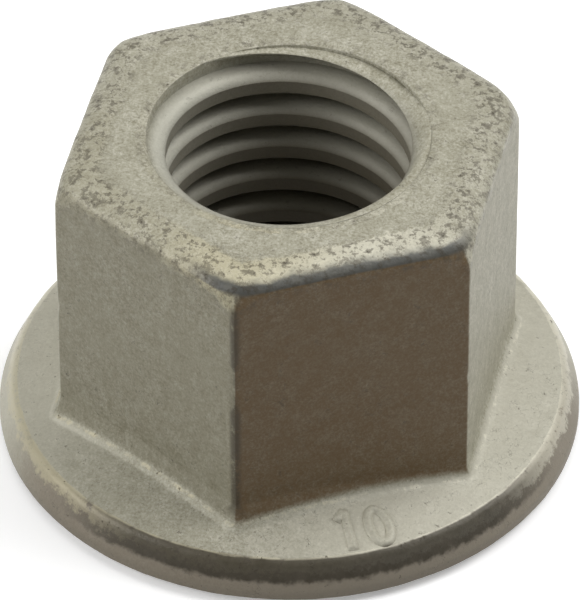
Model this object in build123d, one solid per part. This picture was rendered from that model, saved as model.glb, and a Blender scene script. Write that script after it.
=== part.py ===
"""Serrated flange nut: one forged steel piece, an M10 right-hand thread in a hexagon on a round flange.

Millimetres, +Z up.  The nut stands on the tips of its locking teeth at Z = 0, with the
thread axis on Z.  Two of the six spanner flats face +X and -X.
"""
from build123d import *
from build123d.topology import SkipClean
from math import asin, ceil, cos, degrees, pi, radians, sin, tan
import os

# ---- hexagon ----
spanner_size = 15.0         # the spanner that fits
spanner_play = 0.2          # how much narrower the forged hexagon is made
vertical_edge_radius = 0.15
crown_height = 12.85        # tooth tips to the highest line, round the thread's mouth
crown_angle = 9.8           # the top falls away from the mouth to the flats, in degrees
corner_relief = 0.4         # how far in from each corner the steeper roll-off starts
corner_relief_angle = 50.0

# ---- flange ----
flange_overhang = 1.9       # from the hexagon's corners out to the rim
flange_edge_height = 1.66   # tooth tips to the rim's upper edge
flange_angle = 15.0         # the flange's top rises towards the hexagon, in degrees
rim_lift = 0.3              # the rim's lower edge stands clear of the seat by this much
rim_bulge_height = 0.67     # the rim is upright from its lower edge up to here
rim_lean = 0.5              # from there up to its upper edge it leans in by this much
rim_upper_break = 0.3       # how much is broken off the rim's upper edge
rim_lower_break = 0.15      # the same at its lower edge
foot_radius = 0.6           # the cove between the hexagon and the flange
foot_bands = 4              # the cove is drawn as this many narrow bands
foot_bite = 0.003           # it runs this far into both, so that they join cleanly

# ---- thread, metric M10 x 1.5 ----
major_diameter = 10.0
pitch = 1.5
thread_depth = 0.725        # radial, from the crests to the full diameter
flank_angle = 30.0          # each flank, from the plane across the axis
root_flat_share = 0.125     # the groove's flat bottom, as a share of the pitch
groove_height_at_x = 1.255  # groove centre above the seat on the +X side
crest_arcs = 6              # the hole is drawn as this many arcs
top_lip = 0.1               # countersink beyond the full thread diameter, at the top
seat_lip = 0.3              # the same at the seat
countersink_angle = 60.0    # from the axis, both ends

# ---- locking teeth ----
tooth_count = 24
tooth_depth = 0.34          # at the outside of the toothed ring; it fades towards the axis
tooth_ramp_share = 0.78     # of each tooth's pitch: the slope it slides on when tightened
tooth_bite_share = 0.08     # of each tooth's pitch: the steep side that bites
ring_edge_relief = 0.65     # the ring stops this far short of the rim
ring_recess_width = 1.3     # plain recess between the thread's mouth and the ring
ring_recess_depth = 0.3
cutting_margin = 0.25       # how far each cutter reaches past what it cuts

# ---- what follows from them ----
side_count = 6
half_side_angle = 180 / side_count
apothem = (spanner_size - spanner_play) / 2
corner_reach = apothem / cos(radians(half_side_angle))
flange_radius = corner_reach + flange_overhang
rim_top_radius = flange_radius - rim_lean
ring_outer_radius = flange_radius - ring_edge_relief
major_radius = major_diameter / 2
minor_radius = major_radius - thread_depth
top_mouth_radius = major_radius + top_lip
seat_mouth_radius = major_radius + seat_lip
ring_inner_radius = seat_mouth_radius + ring_recess_width
relief_radius = corner_reach - corner_relief
flange_slope = tan(radians(flange_angle))
crown_slope = tan(radians(crown_angle))
relief_slope = tan(radians(corner_relief_angle))
countersink_slope = 1 / tan(radians(countersink_angle))


def turned(points):
    """A solid of revolution about Z from (radius, height) points."""
    outline = Polyline(*[(r, 0, z) for r, z in points], close=True)
    return revolve(make_face(outline), Axis.Z)


def flange():
    """The round skirt: toothed side down, a shallow cone on top, and a rim that leans in."""
    skirt = turned([
        (0, 0),
        (ring_outer_radius, 0),
        (flange_radius, rim_lift),
        (flange_radius, rim_bulge_height),
        (rim_top_radius, flange_edge_height),
        (0, flange_top(0)),
    ])
    skirt = chamfer(rim_edges(skirt)[-1], rim_upper_break)
    return chamfer(rim_edges(skirt)[0], rim_lower_break)


def rim_edges(skirt):
    """The round edges of the skirt from the rim's lower edge up."""
    return skirt.edges().filter_by(GeomType.CIRCLE).sort_by(Axis.Z)[1:]


def flange_top(reach):
    """Height of the flange's cone at a distance from the axis."""
    return flange_edge_height + (rim_top_radius - reach) * flange_slope


def hexagon():
    """The spanner grip: six flats from inside the flange up past the crown."""
    outline = RegularPolygon(apothem, side_count, major_radius=False, rotation=half_side_angle)
    outline = fillet(outline.vertices(), vertical_edge_radius)
    return extrude(Pos(0, 0, rim_lift) * outline, crown_height - rim_lift)


def crown():
    """The turned envelope of the hexagon's top: a flat cone, then a steeper roll-off."""
    outside = corner_reach + cutting_margin
    relief_height = crown_height - (relief_radius - top_mouth_radius) * crown_slope
    outside_height = relief_height - (outside - relief_radius) * relief_slope
    return turned([
        (0, 0),
        (outside, 0),
        (outside, outside_height),
        (relief_radius, relief_height),
        (top_mouth_radius, crown_height),
        (0, crown_height),
    ])


def foot_section():
    """Section of the cove over the middle of the +X flat, with its back inside the metal."""
    lean = radians(flange_angle)
    middle_x = apothem + foot_radius - foot_bite
    middle_z = flange_top(apothem + foot_radius) + foot_radius / cos(lean) - foot_bite
    angles = [(pi / 2 - lean) * number / foot_bands for number in range(foot_bands + 1)]
    curve = [
        (middle_x - foot_radius * cos(angle), 0, middle_z - foot_radius * sin(angle))
        for angle in angles
    ]
    toe_x, toe_z = curve[-1][0], curve[-1][2]
    behind_x = curve[0][0] - cutting_margin
    below_z = toe_z - cutting_margin
    back = [(toe_x, 0, below_z), (behind_x, 0, below_z), (behind_x, 0, middle_z)]
    return make_face(Polyline(*curve, *back, close=True))


def foot_cove():
    """One flat's share of the cove, bent down to its corners as the flange's cone falls away."""
    half_flat = apothem * tan(radians(half_side_angle))
    fall = (corner_reach - apothem) * flange_slope
    bend = (half_flat ** 2 + fall ** 2) / (2 * fall)
    swing = degrees(asin((half_flat + foot_radius) / bend))
    axis = Axis((0, 0, flange_top(apothem) - bend), (1, 0, 0))
    strip = revolve(foot_section().rotate(axis, -swing), axis, 2 * swing)
    return strip & corner_to_corner()


def corner_to_corner():
    """The share of space over the +X flat, between the planes through its two corners."""
    side = flange_radius * tan(radians(half_side_angle))
    sector = make_face(Polyline((0, 0), (flange_radius, -side), (flange_radius, side), close=True))
    return extrude(sector, crown_height)


def body():
    """Hexagon, flange and the cove where they meet, as one forging."""
    grip = hexagon() & crown()
    cove = foot_cove()
    coves = [place * cove for place in PolarLocations(0, side_count)]
    return flange() + [grip] + coves


def bore():
    """The hole at the thread's crests, drawn as arcs, and the countersink at each end."""
    sweep_angle = 360 / crest_arcs
    low = Plane.XY.offset(-cutting_margin)
    arcs = [
        CenterArc((0, 0), minor_radius, number * sweep_angle, sweep_angle)
        for number in range(crest_arcs)
    ]
    hole = extrude(low * make_face(arcs), crown_height + 2 * cutting_margin, clean=False)
    top = turned([
        (0, crown_height - top_mouth_radius * countersink_slope),
        (top_mouth_radius, crown_height),
        (top_mouth_radius, crown_height + cutting_margin),
        (0, crown_height + cutting_margin),
    ])
    seat = turned([
        (0, -cutting_margin),
        (seat_mouth_radius, -cutting_margin),
        (seat_mouth_radius, ring_recess_depth),
        (0, ring_recess_depth + seat_mouth_radius * countersink_slope),
    ])
    return [hole, top, seat]


def thread_turn():
    """One turn of the right-hand groove, its section starting on the +X side at Z = 0."""
    inside = minor_radius - cutting_margin
    half_root = root_flat_share * pitch / 2
    half_mouth = half_root + (major_radius - inside) * tan(radians(flank_angle))
    section = make_face(Polyline(
        (inside, 0, -half_mouth),
        (major_radius, 0, -half_root),
        (major_radius, 0, half_root),
        (inside, 0, half_mouth),
        close=True,
    ))
    return sweep(section, Helix(pitch, pitch, major_radius), is_frenet=True)


def thread_groove():
    """Groove turns end to end, from below the seat to above the crown."""
    lowest = groove_height_at_x - pitch * ceil((groove_height_at_x + pitch) / pitch)
    turn_count = ceil((crown_height + pitch - lowest) / pitch)
    turn = thread_turn()
    return [Pos(0, 0, lowest + number * pitch) * turn for number in range(turn_count)]


def ring_recess():
    """The plain hollow inside the toothed ring."""
    return turned([
        (0, -cutting_margin),
        (ring_inner_radius, -cutting_margin),
        (ring_inner_radius, 0),
        (ring_inner_radius - ring_recess_depth, ring_recess_depth),
        (0, ring_recess_depth),
    ])


def tooth_gap():
    """A three-sided wedge with its point on the axis: a long ramp and a steep bite."""
    reach = flange_radius + cutting_margin
    tooth_pitch = 2 * pi * reach / tooth_count
    outer = make_face(Polyline(
        (reach, 0, tooth_depth * reach / ring_outer_radius),
        (reach, tooth_pitch * tooth_ramp_share, 0),
        (reach, -tooth_pitch * tooth_bite_share, 0),
        close=True,
    ))
    return loft([outer.face(), Vertex(0, 0, 0)])


def nut():
    """The forging with its thread and teeth cut; nothing is merged, so the hole keeps its arcs."""
    gaps = [place * tooth_gap() for place in PolarLocations(0, tooth_count)]
    piece = body()
    with SkipClean():
        for cutter in bore() + [ring_recess()] + thread_groove():
            piece = piece - cutter
        piece = piece - gaps
    return piece


def main():
    os.makedirs("parts", exist_ok=True)
    export_step(nut(), "parts/flange_nut.step")


main()
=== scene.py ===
# %% [markdown]
# # A serrated flange nut
# This lesson builds the looks of one steel nut: a hexagon with a thread through it, standing
# on a round flange with locking teeth underneath. The solid model of the nut is loaded first.
# Every piece is then made in metres in the same place as that solid, so nothing has to be
# fitted afterwards.

# %% Load the solid model
from math import atan, cos, pi, radians, sin, sqrt, tan

import bmesh
import bpy
from mathutils import Matrix, Vector


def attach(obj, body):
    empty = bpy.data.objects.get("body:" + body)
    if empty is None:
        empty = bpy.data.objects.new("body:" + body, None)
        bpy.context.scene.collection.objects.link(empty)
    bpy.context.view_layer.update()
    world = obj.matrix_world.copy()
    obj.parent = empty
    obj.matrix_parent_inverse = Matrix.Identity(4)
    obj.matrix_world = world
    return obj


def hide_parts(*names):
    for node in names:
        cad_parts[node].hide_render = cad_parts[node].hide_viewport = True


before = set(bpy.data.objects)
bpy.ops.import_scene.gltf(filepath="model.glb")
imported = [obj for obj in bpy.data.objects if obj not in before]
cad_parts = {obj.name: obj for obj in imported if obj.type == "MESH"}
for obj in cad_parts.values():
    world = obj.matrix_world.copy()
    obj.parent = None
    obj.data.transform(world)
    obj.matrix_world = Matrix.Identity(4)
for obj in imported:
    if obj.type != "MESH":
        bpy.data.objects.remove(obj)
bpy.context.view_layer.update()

MM = 0.001

# %% [markdown]
# ## Formulas on sockets
# Shapes and finishes are both made by node trees, and both need sums. Adding each Math node
# by hand hides the sum, so a small class wraps a socket and lets it stand in a Python
# formula: every operator adds one Math node to the tree that the socket belongs to. The
# reflected forms, such as `__rsub__`, make `1 - mask` work as well as `mask - 1`.


# %% The formula class
class Term:
    """A number socket that can stand in a formula."""

    def __init__(self, socket):
        self.socket = socket

    def __add__(self, other):
        return calculate("ADD", self, other)

    def __radd__(self, other):
        return calculate("ADD", other, self)

    def __sub__(self, other):
        return calculate("SUBTRACT", self, other)

    def __rsub__(self, other):
        return calculate("SUBTRACT", other, self)

    def __mul__(self, other):
        return calculate("MULTIPLY", self, other)

    def __rmul__(self, other):
        return calculate("MULTIPLY", other, self)

    def __truediv__(self, other):
        return calculate("DIVIDE", self, other)

    def __rtruediv__(self, other):
        return calculate("DIVIDE", other, self)


def calculate(operation, *parts):
    """One Math node: its operation first, then its numbers or links."""
    tree = next(part.socket.id_data for part in parts if isinstance(part, Term))
    node = tree.nodes.new("ShaderNodeMath")
    node.operation = operation
    for socket, part in zip(node.inputs, parts):
        if isinstance(part, Term):
            tree.links.new(part.socket, socket)
        else:
            socket.default_value = part
    return Term(node.outputs[0])


def larger(a, b):
    return calculate("MAXIMUM", a, b)


def smaller(a, b):
    return calculate("MINIMUM", a, b)


def between(value, low, high):
    """Rises smoothly from 0 at low to 1 at high."""
    share = smaller(larger((value - low) / (high - low), 0.0), 1.0)
    return share * share * (3.0 - 2.0 * share)


def blend(a, b, share):
    return a + (b - a) * share


print("formula class ready")

# %% [markdown]
# Every other kind of node comes from one method. It sets what the node is before it sets
# what goes in, because a node's sockets change with its settings.


# %% The node method
class Graph:
    """A node tree, and the one way to add a node to it."""

    def __init__(self, tree):
        self.tree = tree

    def add(self, kind, settings=None, inputs=None):
        node = self.tree.nodes.new(kind)
        for name, value in (settings or {}).items():
            setattr(node, name, value)
        for key, value in (inputs or {}).items():
            self.feed(find_socket(node.inputs, key), value)
        return node

    def feed(self, socket, value):
        if isinstance(value, Term):
            value = value.socket
        if isinstance(value, bpy.types.NodeSocket):
            self.tree.links.new(value, socket)
        else:
            socket.default_value = value


def find_socket(sockets, key):
    """A socket by its number, its identifier or its name."""
    if isinstance(key, int):
        return sockets[key]
    for socket in sockets:
        if socket.identifier == key:
            return socket
    return sockets[key]


print("node method ready")

# %% [markdown]
# A shape tree takes a mesh in, gives a mesh out and has named sizes. Its end is always the
# same: every copy is made real and gets its finish. The result is kept as a plain mesh, with
# doubles merged and every face turned outwards, so nothing is left to compute later.


# %% Shape trees
def new_shape_tree(name, sizes):
    """A Geometry Nodes tree with a mesh in, a mesh out and named sizes."""
    tree = bpy.data.node_groups.new(name, "GeometryNodeTree")
    tree.interface.new_socket("Geometry", in_out="INPUT", socket_type="NodeSocketGeometry")
    tree.interface.new_socket("Geometry", in_out="OUTPUT", socket_type="NodeSocketGeometry")
    for size, value in sizes.items():
        kind = "NodeSocketInt" if isinstance(value, int) else "NodeSocketFloat"
        tree.interface.new_socket(size, in_out="INPUT", socket_type=kind)
    graph = Graph(tree)
    entry = graph.add("NodeGroupInput")
    terms = {size: Term(entry.outputs[size]) for size in sizes}
    return graph, entry.outputs["Geometry"], terms


def close_shape_tree(graph, geometry, material):
    """The end of every tree: real geometry, with its finish on it."""
    real = graph.add("GeometryNodeRealizeInstances", inputs={0: geometry})
    finished = graph.add(
        "GeometryNodeSetMaterial",
        inputs={"Geometry": real.outputs[0], "Material": material},
    )
    graph.add("NodeGroupOutput", inputs={0: finished.outputs[0]})


def make_with_tree(name, start, graph, sizes):
    """Runs the tree on the start mesh and keeps the result as a plain mesh."""
    carrier = bpy.data.objects.new(name + "_start", start)
    bpy.context.scene.collection.objects.link(carrier)
    modifier = carrier.modifiers.new("Shape", "NODES")
    modifier.node_group = graph.tree
    for item in graph.tree.interface.items_tree:
        if item.in_out == "INPUT" and item.name in sizes:
            modifier[item.identifier] = sizes[item.name]
    ready = carrier.evaluated_get(bpy.context.evaluated_depsgraph_get())
    mesh = bpy.data.meshes.new_from_object(ready)
    bpy.data.objects.remove(carrier)
    return kept_piece(name, mesh)


def kept_piece(name, mesh):
    """An object at the origin for a finished mesh."""
    piece = bpy.data.objects.new(name, mesh)
    bpy.context.scene.collection.objects.link(piece)
    tidy_mesh(mesh)
    print(name, len(mesh.vertices), "points,", len(mesh.polygons), "faces")
    return piece


def tidy_mesh(mesh):
    """Merges doubles, turns every face outwards and smooths the shading."""
    work = bmesh.new()
    work.from_mesh(mesh)
    bmesh.ops.remove_doubles(work, verts=work.verts, dist=0.0005 * MM)
    bmesh.ops.recalc_face_normals(work, faces=work.faces)
    for face in work.faces:
        face.smooth = True
    work.to_mesh(mesh)
    work.free()


print("shape trees ready")

# %% [markdown]
# ## The camera
# A long lens from far away shows a small part without much perspective. The camera looks
# down at the nut from the front and a little from its right. It is turned by a matrix made
# of its own right, up and back directions.

# %% Camera
azimuth = radians(12.91)
elevation = radians(41.765)
camera_distance = 279.65 * MM
camera_roll = -0.00289
aim_point = Vector((0, 0, 0.35 * MM))
pixels_of_lens = 7759.8
long_side_pixels = 600
sensor_width = 36
aim_pixel = Vector((289.02, 400.62))
centre_pixel = Vector((289.5, 299.5))

back = Vector((sin(azimuth) * cos(elevation), -cos(azimuth) * cos(elevation), sin(elevation)))
right = Vector((cos(azimuth), sin(azimuth), 0))
up = back.cross(right)
right_rolled = right * cos(camera_roll) + up * sin(camera_roll)
up_rolled = up * cos(camera_roll) - right * sin(camera_roll)
ahead = (
    -back * pixels_of_lens
    + right_rolled * (centre_pixel.x - aim_pixel.x)
    + up_rolled * (aim_pixel.y - centre_pixel.y)
).normalized()
side = ahead.cross(up_rolled).normalized()
top = side.cross(ahead)

lens = bpy.data.cameras.new("camera")
lens.lens = pixels_of_lens * sensor_width / long_side_pixels
lens.sensor_width = sensor_width
lens.clip_start = 0.01
lens.clip_end = 10
camera = bpy.data.objects.new("camera", lens)
turned = Matrix((side, top, -ahead)).transposed().to_4x4()
camera.matrix_world = Matrix.Translation(aim_point + back * camera_distance) @ turned
bpy.context.scene.collection.objects.link(camera)
bpy.context.scene.camera = camera
print("lens", round(lens.lens, 1), "mm")

# %% [markdown]
# ## The nut's sizes
# A nut is made to sizes from a standard, so the looks start from the same ones as the solid:
# the hexagon's flats, the flange's cone, the countersinks and the thread. Only the crown is
# drawn flatter than the solid's cone, because its edges are rolled over much further. Later
# cells add what the forging and the tumbling left behind.

# %% Sizes
apothem = 7.4
corner_reach = apothem / cos(radians(30))
crown_height = 12.85
crown_angle = radians(1)
edge_width = 1.1
edge_drop = 0.49
relief_start = 8.15
relief_angle = radians(50)
rim_radius = 10.43
bulge_height = 0.67
flange_edge_radius = 9.95
flange_edge_height = 1.66
flange_angle = radians(15)
rim_lift = 0.3
foot_radius = 0.6
pitch = 1.5
thread_flank = radians(30)
groove_height_at_x = 1.255
crest_radius = 4.275
root_radius = 5.0
ridge_back = 5.14
mouth_radius = 5.3
seat_mouth_radius = 5.3
countersink_slope = tan(thread_flank)
recess_depth = 0.3
ring_inner_radius = 6.6
ring_outer_radius = 9.795
tooth_count = 24
tooth_depth = 0.34
print("corners reach", round(corner_reach, 3), "mm from the axis")

# %% [markdown]
# ## The body's section
# Cut the nut down the middle and one side of the cut is a closed outline: up the hole, over
# the thread's mouth, across the crown, down the flat, out over the flange, round the rim and
# back along the underside. The body is that outline turned round the axis, but the turning
# isn't plain: the hole and the rim are round, and the grip between them is a hexagon. So
# each point of the outline also carries how round it is, and whether its height is measured
# from the crown, from the flange or from the seat. It also says how exposed it is, because
# that is where the coat rubs through; the same value paints pale highlights on those edges.
#
# The edge round the top took most of the knocks. It is rolled over like a quarter of a flat
# ellipse, wider than it is deep.

# %% Section rows
rows = []


def add_row(offset=0.0, height=0.0, reach=0.0, **shares_of):
    """One point of the section. offset is from the flats, reach from the axis, both in mm."""
    row = {"offset": offset * MM, "height": height * MM, "reach": reach * MM}
    for name in ("roundness", "on_crown", "on_flange", "worn", "lip"):
        row[name] = shares_of.get(name, 0.0)
    rows.append(row)


def add_round(reach, height, worn=0.0):
    add_row(reach=reach, height=height, roundness=1.0, worn=worn)


def shares(count):
    return [number / count for number in range(count + 1)]


def crown_wear_and_highlight(share):
    """The mouth and the outer part of the crown are worn and painted with a highlight, and the ring
    between them isn't.
    """
    return max(0.6 - share * 6, 0.9 * (share - 0.6) / 0.4, 0.0)


bore_rows, crown_rows, edge_rows = 24, 16, 14
bore_bottom = recess_depth + (seat_mouth_radius - root_radius) * countersink_slope
lip_depth = 0.6
lip_width = 0.97
lip_centre = crown_height - lip_depth


def lip_height(reach):
    """The thread's mouth is rounded like a quarter of an ellipse."""
    across = min(1.0, (mouth_radius - reach) / lip_width)
    return lip_centre + lip_depth * sqrt(1 - across * across)


bore_top = lip_height(root_radius) - 0.02
for share in shares(bore_rows):
    add_round(root_radius, bore_bottom + (bore_top - bore_bottom) * share)
# The mouth's edge is marked worn, so it is painted pale: worn coat and a painted highlight ring.
for past in (0.012, 0.06):
    add_round(root_radius + past, lip_height(root_radius + past), worn=0.5)

for share in shares(crown_rows)[:-1]:
    add_row(
        offset=-edge_width, reach=mouth_radius, roundness=1 - share, on_crown=1.0,
        worn=crown_wear_and_highlight(share),
    )
for share in shares(edge_rows):
    angle = pi / 2 * (1 - share)
    add_row(
        offset=-edge_width * (1 - cos(angle)),
        height=-edge_drop * (1 - sin(angle)),
        on_crown=1.0,
        worn=1.0 - 0.4 * share,
    )
print(len(rows), "rows up to the grip's top edge")

# %% [markdown]
# The rows down the flat lie between two sloping surfaces, the crown above and the flange
# below, so their heights are shared between the two. The cove at the foot is an arc that
# leaves the flat straight down and meets the flange's cone. On one side of the nut the dies
# didn't close fully, and the cove is filled up to a low step with a sharp edge.

# %% Flat, cove and flange rows
flat_rows, flange_rows, rim_rows = 34, 18, 8
close_under_edge = [0.008, 0.016, 0.024]
lip_begins = 0.93
flat_top_drop = rows[-1]["height"] / MM
cove_top = foot_radius * (1 / cos(flange_angle) - tan(flange_angle))
for share in close_under_edge + shares(flat_rows)[1:-1]:
    add_row(
        height=flat_top_drop * (1 - share) + cove_top * share,
        on_crown=1 - share,
        on_flange=share,
        lip=max(0.0, share - lip_begins) / (1 - lip_begins),
        worn=0.7 * max(0.0, 1 - share / 0.05),
    )
cove_turn = pi / 2 - flange_angle
step_fill = (0.93, 1.0, 1.0, 0.9, 0.62, 0.33, 0.26, 0.26, 0.09, 0.0)
# The step's sharp edge is marked worn, so a pale line is painted along it: worn coat and a painted
# highlight.
for number, fill in enumerate(step_fill):
    angle = cove_turn * number / (len(step_fill) - 1)
    add_row(
        offset=foot_radius * (1 - cos(angle)),
        height=foot_radius
        * (1 / cos(flange_angle) - sin(angle) - cos(angle) * tan(flange_angle)),
        on_flange=1.0,
        lip=fill,
        worn=0.5 if 0.2 < fill < 0.3 else 0.0,
    )
lip_end = foot_radius * (1 - cos(cove_turn))

rim_wear = 0.5
rim_lean = atan((rim_radius - flange_edge_radius) / (flange_edge_height - bulge_height))
half_turn = (cove_turn - rim_lean) / 2
rim_back = rim_wear * tan(half_turn)
rim_start = flange_edge_radius - rim_back * cos(flange_angle)
for share in shares(flange_rows)[1:]:
    add_row(offset=lip_end, reach=rim_start, roundness=share, on_flange=1.0)


def flange_height(reach):
    return flange_edge_height + (flange_edge_radius - reach) * tan(flange_angle)


rim_centre = rim_start - rim_wear * sin(flange_angle)
rim_centre_height = flange_height(rim_start) - rim_wear * cos(flange_angle)
for share in shares(rim_rows)[1:]:
    angle = cove_turn + (rim_lean - cove_turn) * share
    add_round(
        rim_centre + rim_wear * cos(angle), rim_centre_height + rim_wear * sin(angle), worn=0.8
    )
print(len(rows), "rows down to the rim")

# %% [markdown]
# The rim isn't machined. The hot steel was squeezed out between the dies and bulged, so the
# rim is upright low down and leans in above. Underneath, the section runs at the bottom of
# the gaps between the locking teeth. The teeth themselves are a repeat, so they get a tree
# of their own further down.

# %% Rim and underside rows
rim_top = rows[-1]["height"] / MM
rim_top_reach = rows[-1]["reach"] / MM
bulge_softness = 0.1
bulge_reach = rim_radius - 0.05
for share in shares(6)[1:]:
    height = rim_top + (bulge_height + bulge_softness - rim_top) * share
    add_round(rim_top_reach + (bulge_reach - rim_top_reach) * share, height, 0.8 - share)
low_wear = 0.07
for height in (bulge_height, 0.6, 0.53, 0.45, rim_lift + low_wear):
    add_round(rim_radius - (0.01 if height > 0.6 else 0.0), height)
for share in shares(4)[1:]:
    angle = pi / 2 * share
    add_round(
        rim_radius - low_wear * (1 - cos(angle)), rim_lift + low_wear * (1 - sin(angle)), 0.6
    )


def valley_height(reach):
    """The gaps between the teeth run down to nothing at the axis."""
    return tooth_depth * reach / ring_outer_radius


ring_foot = ring_inner_radius - recess_depth
for reach in (10.2, 10.0, 9.6, 9.1, 8.6, 8.1, 7.6, 7.1, 6.7, 6.4):
    add_round(reach, max(valley_height(reach) - 0.02 * (reach > 10.1), 0.0))
for reach in (ring_foot, 6.28, 6.0, 5.7, 5.4, seat_mouth_radius + 0.02):
    add_round(reach, recess_depth)
for reach in (5.28, ridge_back):
    add_round(reach, recess_depth + (seat_mouth_radius - reach) * countersink_slope)
print(len(rows), "rows in the whole section")

# %% [markdown]
# ## The body
# Curve to Mesh sweeps the outline round a circle and copies each point's values on to the
# whole ring that it makes. Set Position then puts every point where its values say. The
# hexagon's radius in each direction comes from its flats and its rounded corners. The
# columns are crowded towards the corners, because that is where the shape turns.


# %% Body helpers
def hexagon_radius(angle, flat, rounding):
    """Distance from the axis to a hexagon with rounded corners, for an angle in radians."""
    sixth = pi / 3
    fold = calculate("PINGPONG", angle, sixth / 2)
    centre = (flat - rounding) / cos(sixth / 2)
    turn_at = calculate("ARCTAN2", (flat - rounding) * tan(sixth / 2), flat)
    aside = centre * calculate("SINE", sixth / 2 - fold)
    along = centre * calculate("COSINE", sixth / 2 - fold)
    rounded = along + calculate("SQRT", larger(rounding * rounding - aside * aside, 0.0))
    straight = flat / calculate("COSINE", fold)
    return blend(straight, rounded, calculate("GREATER_THAN", fold, turn_at))


def named(graph, name):
    node = graph.add(
        "GeometryNodeInputNamedAttribute", {"data_type": "FLOAT"}, {"Name": name}
    )
    return Term(node.outputs[0])


def soft_corner(value, softness):
    """Zero below, value above, with a soft bend between."""
    return 0.5 * (value + calculate("SQRT", value * value + softness * softness))


def point_at(graph, x, y, z):
    return graph.add("ShaderNodeCombineXYZ", inputs={0: x, 1: y, 2: z}).outputs[0]


def placed(graph, geometry, **where):
    inputs = {"Geometry": geometry}
    for name, value in where.items():
        inputs[name.capitalize()] = value
    return graph.add("GeometryNodeSetPosition", inputs=inputs).outputs[0]


print("body helpers ready")

# %% [markdown]
# A nut that has tumbled in a barrel with thousands of others isn't clean. Its corners are
# knocked down at the top, its edges wander, and it has small pits. A knock is a slanting
# cut across one corner, told by the corner's direction in degrees, how far from the axis it
# starts in mm and how steep it is. A pit is a point, a width and a depth in mm.

# %% Knocks and pits
relief_softness = 0.2
knock_softness = 0.1
step_direction = radians(218)
corner_knocks = [
    (30, 8.0, 0.7),
    (90, 8.3, 0.4),
    (150, 8.15, 0.5),
    (210, 8.3, 0.4),
    (270, 8.22, 0.6),
    (330, 8.2, 0.5),
]


def on_flat(facing, along, height, width, depth):
    """A pit on a flat: its facing in degrees, the way along it and the height in mm."""
    way = radians(facing)
    centre = (
        apothem * cos(way) - along * sin(way),
        apothem * sin(way) + along * cos(way),
        height,
    )
    return centre, width, depth


def on_flange(direction, reach, width, depth):
    way = radians(direction)
    return (reach * cos(way), reach * sin(way), flange_height(reach)), width, depth


def on_corner(direction, height, width, depth):
    way = radians(direction)
    return (corner_reach * cos(way), corner_reach * sin(way), height), width, depth


pits = [
    on_flat(240, -2.29, 4.33, 0.45, 0.06),
    on_flat(0, -0.69, 4.57, 0.4, 0.05),
    on_flange(225.4, 9.04, 0.4, 0.06),
    on_flange(0.3, 9.47, 0.35, 0.05),
    on_flange(352.9, 9.28, 0.35, 0.05),
    on_corner(270, 8.9, 0.45, 0.08),
    on_corner(270, 8.2, 0.5, 0.1),
    on_corner(270, 7.6, 0.4, 0.07),
    on_corner(330, 6.6, 0.4, 0.05),
    on_corner(210, 7.1, 0.4, 0.05),
]
print(len(corner_knocks), "knocked corners,", len(pits), "pits")

# %% [markdown]
# The body tree has its sizes as named inputs, so that another nut needs only other numbers.
# The last steps move the surface a little along its own direction: broad waves from the
# forging dies, a rougher wander on the worn edges, and the pits.


# %% The body tree
def body_tree(material):
    graph, section, size = new_shape_tree("Turned section", body_sizes)
    outline = graph.add("GeometryNodeMeshToCurve", inputs={0: section})
    ring = graph.add(
        "GeometryNodeCurvePrimitiveCircle", inputs={"Resolution": size["Columns"], "Radius": 0.01}
    )
    number = Term(graph.add("GeometryNodeInputIndex").outputs[0])
    marked = graph.add(
        "GeometryNodeStoreNamedAttribute",
        {"data_type": "FLOAT", "domain": "POINT"},
        {0: ring.outputs[0], "Name": "turn", "Value": number / size["Columns"]},
    )
    skin = graph.add(
        "GeometryNodeCurveToMesh",
        inputs={"Curve": marked.outputs[0], "Profile Curve": outline.outputs[0]},
    )
    even = named(graph, "turn") * (2 * pi)
    crowding = 0.85 / 6
    crowded = even - crowding * calculate("SINE", 6 * (even - pi / 6))
    shaped = placed(graph, skin.outputs[0], position=section_position(graph, size, crowded))
    worn = placed(graph, shaped, offset=wear_offset(graph, size))
    close_shape_tree(graph, worn, material)
    return graph


def section_position(graph, size, angle):
    """Where a point of the section goes, for the angle that it is turned to."""
    offset = named(graph, "offset")
    rounding = size["Edge rounding"] + calculate("ABSOLUTE", offset)
    grip = hexagon_radius(angle, size["Flats"] + offset, rounding)
    radius = blend(grip, named(graph, "reach"), named(graph, "roundness"))
    x = radius * calculate("COSINE", angle)
    y = radius * calculate("SINE", angle)
    crown = size["Crown height"] - (radius - mouth_radius * MM) * tan(crown_angle)
    extra = tan(relief_angle) - tan(crown_angle)
    crown = crown - extra * soft_corner(radius - relief_start * MM, relief_softness * MM)
    for direction, start, steepness in corner_knocks:
        way = radians(direction)
        along = x * cos(way) + y * sin(way)
        crown = crown - steepness * soft_corner(along - start * MM, knock_softness * MM)
    flange = size["Flange edge height"] + (size["Flange edge radius"] - radius) * tan(flange_angle)
    shown_side = between(calculate("COSINE", angle - step_direction), -0.1, 0.7)
    height = named(graph, "height") + named(graph, "lip") * shown_side * size["Step height"]
    height = height + crown * named(graph, "on_crown") + flange * named(graph, "on_flange")
    return point_at(graph, x, y, height)


print("section tree ready")

# %% [markdown]
# Wear comes last. Noise moves each point along its own normal: a little everywhere, more
# where the section says that the surface is exposed. Points well inside the thread stay
# where they are, because nothing touches them there.


# %% Wear
def noise(graph, scale, detail=2.0, roughness=0.5):
    """Noise from 0 to 1; the scale counts its lumps in each millimetre."""
    node = graph.add(
        "ShaderNodeTexNoise",
        {"noise_dimensions": "3D"},
        {"Scale": scale / MM, "Detail": detail, "Roughness": roughness},
    )
    return Term(node.outputs[0])


def distance_to(graph, place, centre):
    node = graph.add(
        "ShaderNodeVectorMath",
        {"operation": "DISTANCE"},
        {0: place, 1: tuple(part * MM for part in centre)},
    )
    return Term(node.outputs["Value"])


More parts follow.
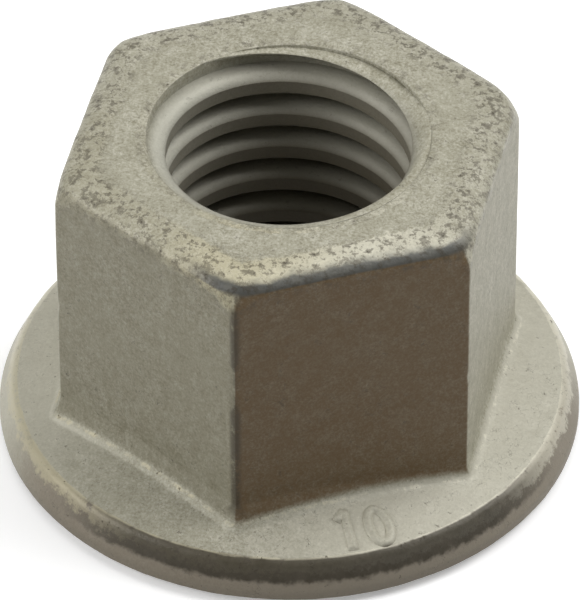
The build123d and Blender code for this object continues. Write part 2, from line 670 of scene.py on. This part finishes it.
def wear_offset(graph, size):
    """How far each point moves along its own normal."""
    place = graph.add("GeometryNodeInputPosition").outputs[0]
    normal = graph.add("GeometryNodeInputNormal").outputs[0]
    waves = (noise(graph, 0.25, 1.0) - 0.5) * size["Wave height"]
    wander = (noise(graph, 1.3, 3.0) - 0.55) * size["Edge wander"] * named(graph, "worn")
    push = waves + wander
    for centre, width, depth in pits:
        away = distance_to(graph, place, centre)
        push = push - (1.0 - between(away, 0.1 * width * MM, width * MM)) * depth * MM
    moved = graph.add(
        "ShaderNodeVectorMath", {"operation": "SCALE"}, {0: normal, "Scale": push}
    )
    return moved.outputs[0]


def section_mesh():
    """The section as a closed chain of points that carry their values."""
    mesh = bpy.data.meshes.new("section")
    count = len(rows)
    points = [
        ((row["reach"] if row["roundness"] else apothem * MM + row["offset"]), 0, 0.0001 * index)
        for index, row in enumerate(rows)
    ]
    mesh.from_pydata(points, [(index, (index + 1) % count) for index in range(count)], [])
    for name in rows[0]:
        values = mesh.attributes.new(name, "FLOAT", "POINT")
        values.data.foreach_set("value", [row[name] for row in rows])
    return mesh


print("wear ready")

# %% [markdown]
# ## The finish
# The nut has a zinc flake coat: thousands of tiny flakes in a dull grey binder, baked on
# over steel that was blasted first. It isn't one even grey. It is grainy like fine cast
# iron, paler where the flakes lie flat, yellowish and brown where the coat is thin, and full
# of small dark pits. Edges that other nuts rubbed against are bare and a little brighter.
# Light and shade are also painted into the colour. The front right flat is painted dark brown,
# and a blue grey band under its top edge is painted shade. The left flat and the thread's deep
# and far side are painted darker. The flange and the thread's upward flanks are painted paler,
# and the pale edges carry painted highlights as well as wear.
#
# All of that is worked out from where a point is on the nut, in millimetres, so the grain
# keeps its size on every surface. The position is split into numbers once, and every mask
# is a formula of them.


# %% Material helpers
def tint(graph, base, colour, share, kind="MIX"):
    """One Mix node for colours."""
    node = graph.add(
        "ShaderNodeMix", {"data_type": "RGBA", "blend_type": kind, "clamp_factor": True},
        {"Factor_Float": share, "A_Color": base, "B_Color": colour},
    )
    return find_socket(node.outputs, "Result_Color")


def material_noise(graph, place, scale, detail=3.0, roughness=0.6, stretch=None):
    """Noise from 0 to 1 on the object's own coordinates; the scale is in lumps per mm."""
    if stretch:
        place = graph.add(
            "ShaderNodeVectorMath", {"operation": "MULTIPLY"}, {0: place, 1: stretch}
        ).outputs[0]
    node = graph.add(
        "ShaderNodeTexNoise",
        {"noise_dimensions": "3D"},
        {"Vector": place, "Scale": scale / MM, "Detail": detail, "Roughness": roughness},
    )
    return Term(node.outputs[0])


def facing(graph, direction, lean=0.0):
    """How squarely the surface faces a direction in the plan, 1 at most."""
    normal = graph.add("ShaderNodeTexCoord").outputs["Normal"]
    way = radians(direction)
    node = graph.add(
        "ShaderNodeVectorMath",
        {"operation": "DOT_PRODUCT"},
        {0: normal, 1: (cos(way) * cos(lean), sin(way) * cos(lean), sin(lean))},
    )
    return Term(node.outputs["Value"])


def facing_way(x, y, direction):
    """How far a place lies towards a direction from the axis, 1 at most."""
    way = radians(direction)
    return (x * cos(way) + y * sin(way)) / calculate("SQRT", x * x + y * y)


def new_finish(name):
    finish = bpy.data.materials.new(name)
    finish.use_nodes = True
    return finish, Graph(finish.node_tree), finish.node_tree.nodes["Principled BSDF"]


print("material helpers ready")

# %% [markdown]
# Most colours below are the coat's own, as it looks in plain white light. Some also carry
# painted light and shade: the brown of the front right flat, the blue grey under its top
# edge, the thread's dark brown and the pale of the worn edges. The directions are those that
# the two front flats and the front of the rim face, in degrees round the axis.

# %% Zinc flake finish
dark_flat, left_flat, rim_front = 300, 240, 295
coat_grey = (0.37, 0.354, 0.272, 1)
coat_pale = (0.60, 0.58, 0.485, 1)
coat_dull = (0.17, 0.152, 0.095, 1)
coat_cool = (0.50, 0.50, 0.44, 1)
brown_and_painted_shade = (0.15, 0.098, 0.047, 1)
shade_blue = (0.10, 0.10, 0.09, 1)
rubbed_and_highlight = (0.72, 0.69, 0.56, 1)
rubbed_warm_and_highlight = (0.56, 0.51, 0.34, 1)
grime = (0.06, 0.048, 0.03, 1)
thread_shade_brown = (0.09, 0.068, 0.035, 1)
rim_dark = (0.05, 0.042, 0.028, 1)
rim_brown = (0.215, 0.18, 0.138, 1)


def zinc_flake_finish():
    finish, graph, shader = new_finish("zinc flake steel")
    place = graph.add("ShaderNodeTexCoord").outputs["Object"]
    split = graph.add("ShaderNodeSeparateXYZ", inputs={0: place})
    x, y, z = (Term(split.outputs[axis]) / MM for axis in range(3))
    radius = calculate("SQRT", x * x + y * y)

    # How uneven the coat is, from fine grain to broad patches.
    grain = material_noise(graph, place, 5.0, 3.0, 0.8)
    fine = material_noise(graph, place, 11.0, 2.0, 0.7)
    patches = material_noise(graph, place, 1.6, 3.0, 0.65)
    broad = material_noise(graph, place, 0.35, 2.0, 0.5)
    streaks = material_noise(graph, place, 4.0, 2.0, 0.6, (1.0, 1.0, 0.12))
    specks = material_noise(graph, place, 3.2, 4.0, 0.75)
    curls = calculate("ABSOLUTE", material_noise(graph, place, 2.2, 2.0, 0.6) - 0.5)
    exposed_and_highlit = Term(graph.add("ShaderNodeAttribute", {"attribute_name": "worn"}).outputs["Fac"])

    # Where a point is on the nut, and which way the surface faces there.
    flatness = calculate("ABSOLUTE", facing(graph, 0, pi / 2))
    over_flange = z - flange_edge_height - (flange_edge_radius - radius) * tan(flange_angle)
    level = calculate("SQRT", larger(1.0 - flatness * flatness, 0.04))
    grip = (1.0 - between(flatness, 0.6, 0.85)) * between(over_flange, 0.1, 0.35)
    grip = grip * between(radius, 5.6, 6.4)
    shade_side = grip * between(facing(graph, dark_flat) / level, 0.8, 0.95)
    left_side = grip * between(facing(graph, left_flat) / level, 0.85, 0.97)
    inside = (1.0 - between(radius, 4.95, 5.1)) * (1.0 - between(z, 12.2, 12.6))
    on_flange = between(radius, 7.3, 7.5) * (1.0 - between(over_flange, 0.05, 0.25))
    on_rim = between(radius, 9.7, 9.85) * (1.0 - between(facing(graph, 0, pi / 2), 0.86, 0.96))
    front = between(facing_way(x, y, rim_front), -0.1, 0.4)
    rim_band = on_rim * between(z + (patches - 0.5) * 0.5, 0.88, 1.08)
    rim_band = rim_band * between(facing_way(x, y, 290), 0.45, 0.8)

    # The coat on the outside.
    tone = (grain - 0.5) * 1.0 + (patches - 0.5) * 0.7 + (fine - 0.5) * 1.1
    base = tint(graph, coat_grey, coat_pale, between(tone + (broad - 0.5) * 0.3, -0.1, 0.5) * 0.8)
    base = tint(graph, base, coat_dull, between(-1.0 * tone, -0.05, 0.5) * 0.75)
    # Painted light: the flange is lightened on its right and on its back left, where the hexagon's
    # shadow falls; a little of it all round is its own paler colour.
    painted_light_right = between(facing_way(x, y, 345), 0.0, 0.9)
    painted_light_left = between(facing_way(x, y, 165), 0.2, 0.9)
    base = tint(graph, base, coat_pale, on_flange * (0.1 + 0.55 * painted_light_right))
    base = tint(graph, base, coat_pale, on_flange * painted_light_left * 0.6)
    # Painted shade: the left flat is darkened, with streaks in it.
    base = tint(graph, base, coat_dull, left_side * (0.28 + 0.25 * streaks))
    # Painted shade: the front right flat is darkened and browned; only part of its brown is the
    # coat's own.
    base = tint(graph, base, brown_and_painted_shade, shade_side * (0.9 - 0.4 * tone))

    # The thread is painted darker deep down, on its side away from the key lamp and on its
    # crests: painted shade. Its upward flanks are painted paler: painted light.
    base = tint(graph, base, coat_cool, inside * 0.6)
    depth = between(12.4 - z, 0.0, 6.0)
    away = between(facing_way(x, y, 40), -0.9, 0.6)
    base = tint(graph, base, thread_shade_brown, inside * smaller(depth * 0.3 + away * 0.4, 0.7))
    upwards = between(facing(graph, 0, pi / 2), 0.3, 0.8)
    base = tint(graph, base, coat_pale, inside * upwards * 0.35)
    crest = inside * (1.0 - between(radius, 4.3, 4.45))
    base = tint(graph, base, thread_shade_brown, crest * (1.0 - upwards) * 0.5)

    # The rim is brown at the front, with a darker band along its upper edge.
    base = tint(graph, base, rim_brown, on_rim * front * 0.8)
    base = tint(graph, base, rim_dark, rim_band * (0.9 + 0.5 * (patches - 0.5)))

    # Pale bare metal on the exposed edges, which is also a painted highlight. On the top it stays
    # mostly on the front edges, and it is kept off the dark rim band and the front right flat.
    worn_and_highlit = between(exposed_and_highlit + (patches - 0.5) * 1.5 + (grain - 0.5) * 1.0, 0.4, 0.75)
    bare_and_highlight = tint(graph, rubbed_and_highlight, rubbed_warm_and_highlight, between(facing_way(x, y, 235), 0.3, 0.9))
    high = between(z, 10.0, 11.0)
    coat_kept_and_unhighlit = high * (1.0 - between(facing_way(x, y, 290), 0.6, 0.95)) * 0.8
    coat_kept_and_unhighlit = larger(larger(coat_kept_and_unhighlit, 0.9 * rim_band), high * shade_side)
    base = tint(graph, base, bare_and_highlight, worn_and_highlit * 0.6 * (1.0 - coat_kept_and_unhighlit))

    # Dirt in the rough edges and in small pocks and flecks. The blue grey band under the front
    # right top edge is painted shade, and a darker line runs low on the front corner.
    rough_edge = exposed_and_highlit * between(z, 11.0, 11.5) * between(specks, 0.49, 0.58)
    bevel = between(exposed_and_highlit, 0.2, 0.5) * between(z, 10.5, 11.0) * between(flatness, 0.4, 0.6)
    chin = bevel * (1.0 - between(flatness + (patches - 0.5) * 0.2, 0.84, 0.98))
    chin = chin * between(facing_way(x, y, 296), 0.72, 0.87)
    base = tint(graph, base, shade_blue, chin * (0.75 + 0.5 * patches))
    front_edge = between(radius, 8.4, 8.5) * between(facing_way(x, y, 270), 0.99, 0.999)
    dark_line = front_edge * between(z, 2.2, 3.0) * between(patches + grain, 0.7, 1.0)
    base = tint(graph, base, grime, larger(rough_edge * 0.65, dark_line * 0.8))
    pocks = between(specks, 0.62, 0.70) * (0.6 + 0.3 * exposed_and_highlit)
    flecks = (1.0 - between(curls, 0.0, 0.012)) * between(broad + patches, 0.98, 1.15) * 0.4
    base = tint(graph, base, grime, larger(pocks, flecks) * (1.0 - inside * 0.6))

    graph.feed(shader.inputs["Base Color"], base)
    graph.feed(shader.inputs["Roughness"], 0.5 + (grain - 0.5) * 0.3 - worn_and_highlit * 0.1)
    shader.inputs["Metallic"].default_value = 0.12
    shader.inputs["Specular IOR Level"].default_value = 0.3
    height = grain * 0.6 + fine * 0.35 + patches * 0.9 - pocks * 0.5 - flecks * 0.4
    bump = graph.add(
        "ShaderNodeBump", inputs={"Strength": 0.5, "Distance": 0.05 * MM, "Height": height}
    )
    graph.feed(shader.inputs["Normal"], bump.outputs[0])
    return finish


coat = zinc_flake_finish()
print("finish has", len(coat.node_tree.nodes), "nodes")

# %% [markdown]
# The body's tree can run now, with the sizes that the section was drawn for.

# %% Make the body
body_sizes = {
    "Columns": 480,
    "Flats": apothem * MM,
    "Edge rounding": 0.16 * MM,
    "Crown height": crown_height * MM,
    "Flange edge height": flange_edge_height * MM,
    "Flange edge radius": flange_edge_radius * MM,
    "Step height": 0.42 * MM,
    "Wave height": 0.05 * MM,
    "Edge wander": 0.09 * MM,
}
body = make_with_tree("nut_body", section_mesh(), body_tree(coat), body_sizes)

# %% [markdown]
# ## The thread
# The thread was cut after forging by a tap, which leaves a spiral ridge between the turns of
# its groove. Here the ridge is its own piece: one profile swept up a spiral inside the hole,
# with its back in the metal. Near both mouths the ridge is cut back to the countersink, so
# every point asks at its own height how far out it must stay.

# %% The ridge where it meets the mouths
thread_turns = 10.0
ridge_top = 12.812
ridge_top_radius = 4.96
seat_cut = recess_depth + 0.1


def countersunk(graph, height, angle):
    """A point of the ridge, kept behind both countersinks."""
    across = smaller(larger((height - lip_centre * MM) / (lip_depth * MM), 0.0), 1.0)
    mouth = mouth_radius * MM - lip_width * MM * calculate("SQRT", 1 - across * across)
    past = larger(height - ridge_top * MM, 0.0)
    above = (ridge_top_radius * MM + past * 2.0) * calculate("GREATER_THAN", past, 0.0)
    seat = seat_mouth_radius * MM - (height - recess_depth * MM) / countersink_slope
    upper = larger(smaller(mouth, ridge_top_radius * MM), above)
    cut = smaller(larger(upper, seat), ridge_back * MM)
    radius = larger(named(graph, "reach"), cut)
    buried = larger(radius - root_radius * MM, 0.0) * 0.6
    low = larger(smaller(height, ridge_top * MM - buried), seat_cut * MM)
    x = radius * calculate("COSINE", angle)
    y = radius * calculate("SINE", angle)
    return point_at(graph, x, y, low)


print("the ridge ends behind", seat_cut, "and", ridge_top, "mm")

# %% [markdown]
# The profile has a narrow flat crest with rounded edges and flanks that lean back by thirty
# degrees each, as every metric thread has.


# %% Thread tree
def thread_tree(material, sizes):
    graph, profile, size = new_shape_tree("Thread ridge", sizes)
    steps = Term(graph.add("GeometryNodeInputIndex").outputs[0])
    line = graph.add("GeometryNodeCurveSpiral", inputs={
        "Resolution": size["Steps in a turn"],
        "Rotations": size["Turns"],
        "Start Radius": root_radius * MM,
        "End Radius": root_radius * MM,
        "Height": size["Turns"] * size["Pitch"],
    })
    marked = graph.add(
        "GeometryNodeStoreNamedAttribute",
        {"data_type": "FLOAT", "domain": "POINT"},
        {0: line.outputs[0], "Name": "turn", "Value": steps / size["Steps in a turn"]},
    )
    outline = graph.add("GeometryNodeMeshToCurve", inputs={0: profile})
    ridge = graph.add("GeometryNodeCurveToMesh", inputs={
        "Curve": marked.outputs[0], "Profile Curve": outline.outputs[0], "Fill Caps": True,
    })
    turn = named(graph, "turn")
    height = size["Start height"] + turn * size["Pitch"] + named(graph, "height")
    position = countersunk(graph, height, turn * (2 * pi))
    close_shape_tree(graph, placed(graph, ridge.outputs[0], position=position), material)
    return graph


def ridge_profile():
    """The ridge between two turns of the groove, its back inside the metal."""
    crest_half = 0.2377
    rounding = 0.05
    flank = pi / 2 - thread_flank
    base_half = crest_half + (ridge_back - crest_radius) * tan(thread_flank)
    points = [(ridge_back, -base_half)]
    for side in (-1, 1):
        centre_height = crest_half - rounding * tan(thread_flank)
        arc = [
            (crest_radius + rounding - rounding * cos(angle), centre_height + rounding * sin(angle))
            for angle in (0, flank / 3, flank * 2 / 3, flank)
        ]
        points += arc if side > 0 else [(reach, -height) for reach, height in reversed(arc)]
    points.append((ridge_back, base_half))
    mesh = bpy.data.meshes.new("ridge")
    count = len(points)
    mesh.from_pydata(
        [(reach * MM, 0, height * MM) for reach, height in points],
        [(index, (index + 1) % count) for index in range(count)],
        [],
    )
    for name, part in (("reach", 0), ("height", 1)):
        values = mesh.attributes.new(name, "FLOAT", "POINT")
        values.data.foreach_set("value", [point[part] * MM for point in points])
    return mesh


thread_sizes = {
    "Turns": thread_turns,
    "Pitch": pitch * MM,
    "Start height": (groove_height_at_x - 1.5 * pitch) * MM,
    "Steps in a turn": 120,
}
ridge_tree = thread_tree(coat, thread_sizes)
thread = make_with_tree("nut_thread", ridge_profile(), ridge_tree, thread_sizes)

# %% [markdown]
# ## The locking teeth
# Under the flange is a ring of teeth. Each has a long ramp that slides when the nut is
# tightened and a short steep side that bites when it tries to come loose. One tooth is drawn
# as a row of sections from the inside of the ring outwards, and a tree sets a copy of it at
# every step round the axis.


# %% One tooth
def tooth_mesh():
    """One closed wedge from the recess to the rim, its top sunk in the flange."""
    step = 2 * pi / tooth_count
    reaches = (6.36, 6.6, 7.2, 7.9, 8.6, 9.3, ring_outer_radius, 10.1, 10.36)
    ramp, land, sunk = 0.78, 0.92, 0.1
    points, faces = [], []
    for reach in reaches:
        outside = max(0.0, reach - ring_outer_radius) / (rim_radius - ring_outer_radius)
        low = max(ring_inner_radius - reach, outside * rim_lift, 0.0)
        valley = valley_height(reach)
        for share, height in (
            (0.0, valley + sunk), (0.0, valley - 0.004), (ramp, low), (land, low),
            (1.0, valley - 0.004), (1.0, valley + sunk),
        ):
            angle = step * share
            points.append((reach * cos(angle) * MM, reach * sin(angle) * MM, height * MM))
    around = 6
    for ring in range(len(reaches) - 1):
        for corner in range(around):
            first = ring * around + corner
            second = ring * around + (corner + 1) % around
            faces.append((first, second, second + around, first + around))
    faces.append(tuple(range(around)))
    faces.append(tuple(range(len(points) - around, len(points))))
    mesh = bpy.data.meshes.new("tooth")
    mesh.from_pydata(points, [], faces)
    return mesh


def tooth_tree(material, sizes):
    graph, tooth, size = new_shape_tree("Tooth ring", sizes)
    count = size["Teeth"]
    row = graph.add("GeometryNodeMeshLine", inputs={"Count": count, "Offset": (0.0, 0.0, 0.0)})
    number = Term(graph.add("GeometryNodeInputIndex").outputs[0])
    turned_by = point_at(graph, 0.0, 0.0, number * (2 * pi) / count)
    copies = graph.add("GeometryNodeInstanceOnPoints", inputs={
        "Points": row.outputs[0], "Instance": tooth, "Rotation": turned_by,
    })
    close_shape_tree(graph, copies.outputs[0], material)
    return graph


teeth_sizes = {"Teeth": tooth_count}
teeth = make_with_tree("nut_teeth", tooth_mesh(), tooth_tree(coat, teeth_sizes), teeth_sizes)

# %% [markdown]
# ## The raised number
# The dies leave one mark on the flange, the strength class 10, in raised strokes. The class
# is plain data, and many makers' nuts carry the same number. Each stroke is a low rounded
# bar along a line that is drawn flat first, in millimetres across and up the digit, and then
# laid on the flange's cone. The tops of the digits point to the axis.

# %% Digits
digit_middle = 8.93
stroke_section = (
    (-0.23, -0.12), (-0.17, 0.03), (-0.11, 0.1), (0.0, 0.125),
    (0.11, 0.1), (0.17, 0.03), (0.23, -0.12),
)


def ellipse(half_width, half_height, count):
    return [
        (half_width * sin(2 * pi * number / count), half_height * cos(2 * pi * number / count))
        for number in range(count)
    ]


def straight(start, end, count):
    return [
        tuple(a + (b - a) * share for a, b in zip(start, end)) for share in shares(count)
    ]


one_direction, nought_direction = 296.2, 303.4
strokes = [
    (one_direction, straight((0.02, -0.74), (0.02, 0.84), 10), False),
    (one_direction, straight((-0.34, 0.5), (0.0, 0.84), 3), False),
    (nought_direction, ellipse(0.36, 0.68, 44), True),
]


def stroke_points(direction, line, closed):
    """The section set across each point of the line, laid on the cone."""
    points = []
    for index, (across, upwards) in enumerate(line):
        before = line[index - 1] if closed or index else line[0]
        after = line[(index + 1) % len(line)] if closed or index + 1 < len(line) else line[-1]
        run = Vector((after[0] - before[0], after[1] - before[1])).normalized()
        for aside, lift in stroke_section:
            u = across + run.y * aside
            reach = digit_middle - (upwards - run.x * aside)
            angle = radians(direction) + u / digit_middle
            height = flange_height(reach) + lift
            points.append((reach * cos(angle) * MM, reach * sin(angle) * MM, height * MM))
    return points


def number_mesh():
    mesh = bpy.data.meshes.new("number")
    points, faces = [], []
    wide = len(stroke_section)
    for direction, line, closed in strokes:
        start = len(points)
        points += stroke_points(direction, line, closed)
        for index in range(len(line) if closed else len(line) - 1):
            here = start + index * wide
            following = start + (index + 1) % len(line) * wide
            for corner in range(wide):
                other = (corner + 1) % wide
                faces.append((here + corner, here + other, following + other, following + corner))
        if not closed:
            faces.append(tuple(range(start, start + wide)))
            faces.append(tuple(range(len(points) - wide, len(points))))
    mesh.from_pydata(points, [], faces)
    mesh.materials.append(coat)
    return mesh


number = kept_piece("nut_class_number", number_mesh())

# %% [markdown]
# ## Floor and light
# The nut stands on pale paper under soft light. A big lamp stands behind it on the right, a
# weaker one on the left and the weakest almost overhead. Nothing lights it from the front on
# the right, so that flat stays dark and the hexagon reads well.
#
# The paper looks white to the camera and in reflections, but it throws less light back up
# at the nut than white paper would, as if it lay further away.


# %% Floor
def paper_finish():
    finish, graph, shader = new_finish("pale paper")
    shader.inputs["Roughness"].default_value = 0.95
    shader.inputs["Specular IOR Level"].default_value = 0.0
    rays = graph.add("ShaderNodeLightPath").outputs
    seen = larger(
        larger(Term(rays["Is Camera Ray"]), Term(rays["Is Glossy Ray"])),
        Term(rays["Is Transmission Ray"]),
    )
    colour = tint(graph, (0.3, 0.29, 0.27, 1), (0.92, 0.92, 0.92, 1), seen)
    graph.feed(shader.inputs["Base Color"], colour)
    glow = tint(graph, (0, 0, 0, 1), (0.3, 0.3, 0.3, 1), seen)
    graph.feed(shader.inputs["Emission Color"], glow)
    shader.inputs["Emission Strength"].default_value = 1.0
    return finish


floor_mesh = bpy.data.meshes.new("floor")
half = 3.0
corners = [(-half, -half, 0), (half, -half, 0), (half, half, 0), (-half, half, 0)]
floor_mesh.from_pydata(corners, [], [(0, 1, 2, 3)])
floor_mesh.materials.append(paper_finish())
floor = bpy.data.objects.new("floor", floor_mesh)
bpy.context.scene.collection.objects.link(floor)
print("floor is", 2 * half, "m wide")

# %% [markdown]
# A lamp is given by the direction that its light comes from and by how bright it makes a
# white card that faces it, where 1 is the brightness at which a colour shows as it is.

# %% Lights
world = bpy.data.worlds.new("studio")
bpy.context.scene.world = world
world.use_nodes = True
sky = world.node_tree.nodes["Background"]
sky.inputs["Color"].default_value = (1, 1, 1, 1)
sky.inputs["Strength"].default_value = 0.15
bpy.context.scene.view_settings.view_transform = "Standard"


def soft_box(name, direction, height_angle, distance, width, brightness):
    """A square lamp that faces the nut."""
    around, above = radians(direction), radians(height_angle)
    towards = Vector((cos(around) * cos(above), sin(around) * cos(above), sin(above)))
    lamp = bpy.data.lights.new(name, "AREA")
    lamp.shape = "SQUARE"
    lamp.size = width
    lamp.energy = brightness * pi * pi * distance * distance
    box = bpy.data.objects.new(name, lamp)
    box.location = towards * distance + Vector((0, 0, 6 * MM))
    box.rotation_euler = towards.to_track_quat("Z", "Y").to_euler()
    bpy.context.scene.collection.objects.link(box)
    print(name, round(lamp.energy, 2), "W")


soft_box("key", 26, height_angle=50, distance=0.4, width=0.3, brightness=0.8)
soft_box("fill", 205, height_angle=30, distance=0.4, width=0.25, brightness=0.6)
soft_box("top", 120, height_angle=75, distance=0.45, width=0.3, brightness=0.26)

# %% [markdown]
# ## Hand over
# Every piece rides on the nut's one body and takes the same finish. The solid is hidden.

# %% Hand over
for piece in (body, thread, teeth, number):
    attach(piece, "root")
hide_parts("flange_nut")
